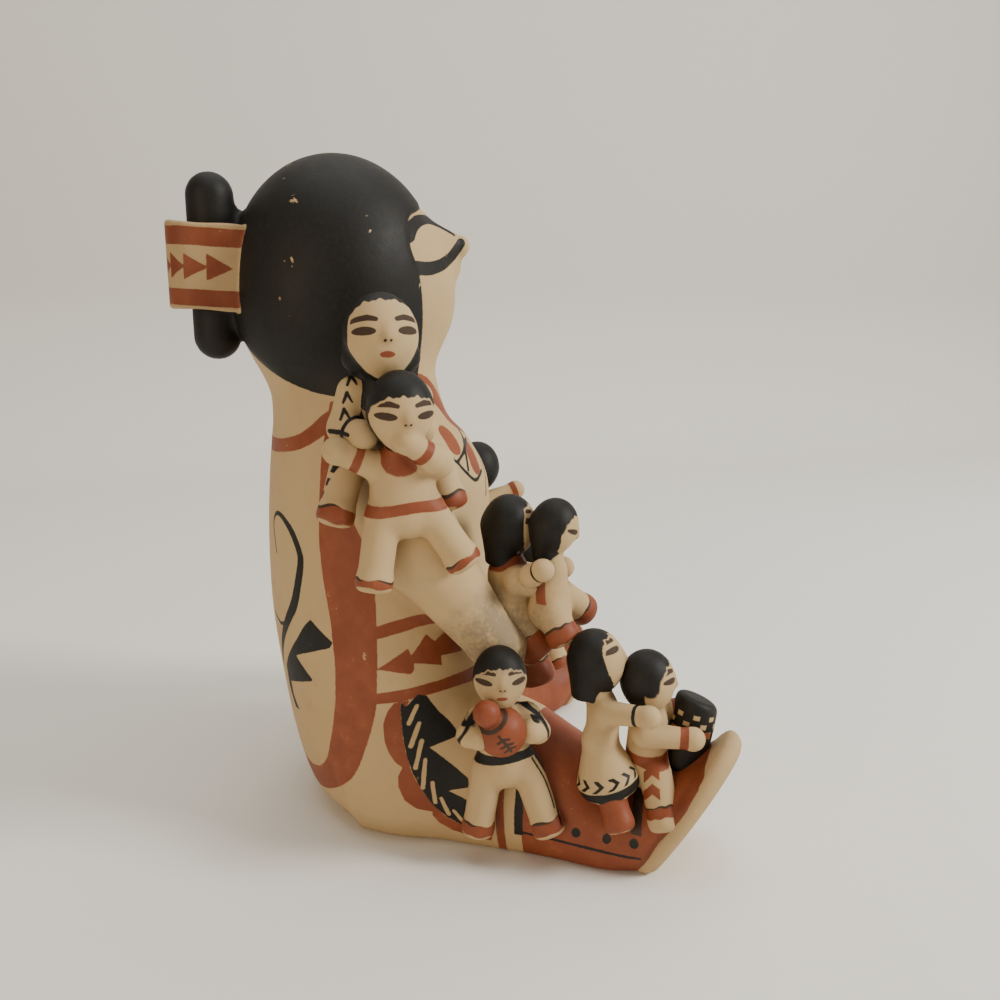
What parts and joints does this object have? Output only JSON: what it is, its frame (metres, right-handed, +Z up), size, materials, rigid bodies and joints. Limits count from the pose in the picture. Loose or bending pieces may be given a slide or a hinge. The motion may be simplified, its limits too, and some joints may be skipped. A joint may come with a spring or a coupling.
{
  "type": "pueblo storyteller figure",
  "caption": "Fired clay storyteller: a seated mother with her head tipped back, children climbing over her. Stands on a flat underside.",
  "frame": {"origin": "on the flat underside, below the axis of the mother's trunk", "axes": "+Z up, -Y the way she faces, -X her right side, which carries the most children"},
  "size_m": [0.1487, 0.1468, 0.19],
  "materials": {
    "clay": "matte cream, red and black slips, stone polished"
  },
  "bodies": {
    "root": {"storyteller": "clay"}
  },
  "joints": []
}
